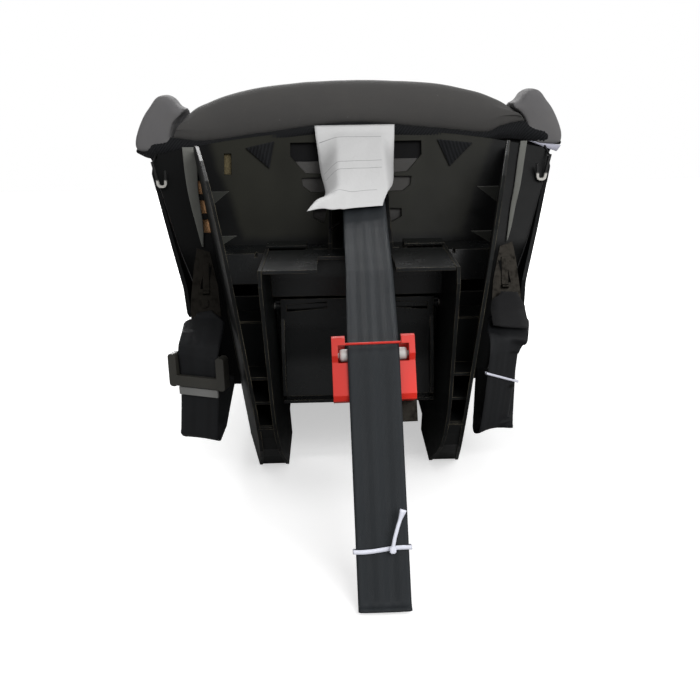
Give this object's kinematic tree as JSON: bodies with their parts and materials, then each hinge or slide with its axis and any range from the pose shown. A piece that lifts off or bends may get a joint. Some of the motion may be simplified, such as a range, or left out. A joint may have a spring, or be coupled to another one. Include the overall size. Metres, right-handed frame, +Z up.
{
  "type": "convertible car seat",
  "caption": "Convertible child car seat lying on its back: black bucket shell on two rails, padded cover, five-point harness, red strap adjuster and two lower-anchor hooks.",
  "frame": {"origin": "middle of the bounding box at floor level, with the seat lying on its back", "axes": "+Z up from the floor, which is from the seat's back to its front lip; +Y from the base to the headrest; +X across the seat, to the right of someone who looks at its underside"},
  "size_m": [0.444, 0.7913, 0.356],
  "materials": {
    "shell": "glossy moulded black",
    "cover": "charcoal woven, padded",
    "lining": "pale grey-lavender knit",
    "webbing": "woven charcoal webbing",
    "red": "satin red-orange",
    "pale": "satin pale grey",
    "bronze": "bronze-grey coated steel",
    "steel": "zinc plated",
    "satin": "satin charcoal",
    "foam": "tan foam",
    "paper": "white non-woven"
  },
  "bodies": {
    "seat": {"base_rail_left": "shell", "base_rail_right": "shell", "belt_panel": "shell", "well": "shell", "foot_pin": "steel", "seat_pan": "shell", "pan_ribs": "shell", "pan_fins": "shell", "side_wing_left": "shell", "side_wing_right": "shell", "back_panel": "shell", "back_rail_left": "shell", "back_rail_right": "shell", "foam_liners": "foam", "cover_lip": "cover", "cover_ear_left": "cover", "cover_ear_right": "cover", "cover_edge_left": "cover", "cover_edge_right": "cover", "torso_bolster_left": "lining", "torso_bolster_right": "lining", "head_bolster_left": "lining", "head_bolster_right": "lining", "back_cushion": "cover", "seat_cushion": "cover", "cover_tucks": "lining", "sewn_tag": "paper", "adjuster_strap": "webbing", "adjuster_tail": "webbing", "adjuster_housing": "red", "adjuster_plate": "bronze", "tail_tie": "pale", "shoulder_strap_left": "webbing", "shoulder_strap_right": "webbing", "hip_straps": "webbing", "shoulder_pad_left": "cover", "shoulder_pad_right": "cover", "tongue_left": "steel", "tongue_right": "steel", "buckle_housing": "satin", "crotch_strap": "webbing", "chest_clip": "satin", "splitter_plate": "steel", "anchor_webbing_left": "webbing", "anchor_webbing_right": "webbing", "anchor_plate_left": "bronze", "anchor_plate_right": "bronze", "anchor_rivets": "steel", "triglide_frame": "satin", "triglide_bar": "pale", "elastic_band": "paper", "hook_sleeve": "cover", "cover_hooks": "pale", "screws": "steel"},
    "foot": {"recline_foot": "shell"},
    "locking_bar": {"adjuster_bar": "pale"},
    "release_button": {"buckle_button": "red"},
    "clip_button": {"chest_button": "satin"},
    "gate_left": {"anchor_gate_left": "steel"},
    "gate_right": {"anchor_gate_right": "steel"}
  },
  "joints": [
    {"name": "recline_foot_hinge", "type": "hinge", "parent": "seat", "child": "foot", "pos_m": [0, -0.1503, 0.16], "axis": [-1, 0, 0], "range_deg": [0, 88]},
    {"name": "locking_bar_slide", "type": "slide", "parent": "seat", "child": "locking_bar", "axis": [-0.0134, 0.8975, 0.4408], "range_m": [0, 0.004]},
    {"name": "buckle_button_press", "type": "slide", "parent": "seat", "child": "release_button", "axis": [0, -0.4067, -0.9135], "range_m": [0, 0.003], "stiffness_N_per_m": 400, "springref_m": -0.001},
    {"name": "chest_button_press", "type": "slide", "parent": "seat", "child": "clip_button", "axis": [0, 0, -1], "range_m": [0, 0.002], "stiffness_N_per_m": 300, "springref_m": -0.001},
    {"name": "anchor_gate_left_hinge", "type": "hinge", "parent": "seat", "child": "gate_left", "pos_m": [-0.14, -0.13602, 0.17009], "axis": [1, 0, 0], "range_deg": [0, 20], "stiffness_Nm_per_rad": 0.01, "springref_deg": -17.19},
    {"name": "anchor_gate_right_hinge", "type": "hinge", "parent": "seat", "child": "gate_right", "pos_m": [0.14, -0.13602, 0.17009], "axis": [1, 0, 0], "range_deg": [0, 20], "stiffness_Nm_per_rad": 0.01, "springref_deg": -17.19}
  ]
}
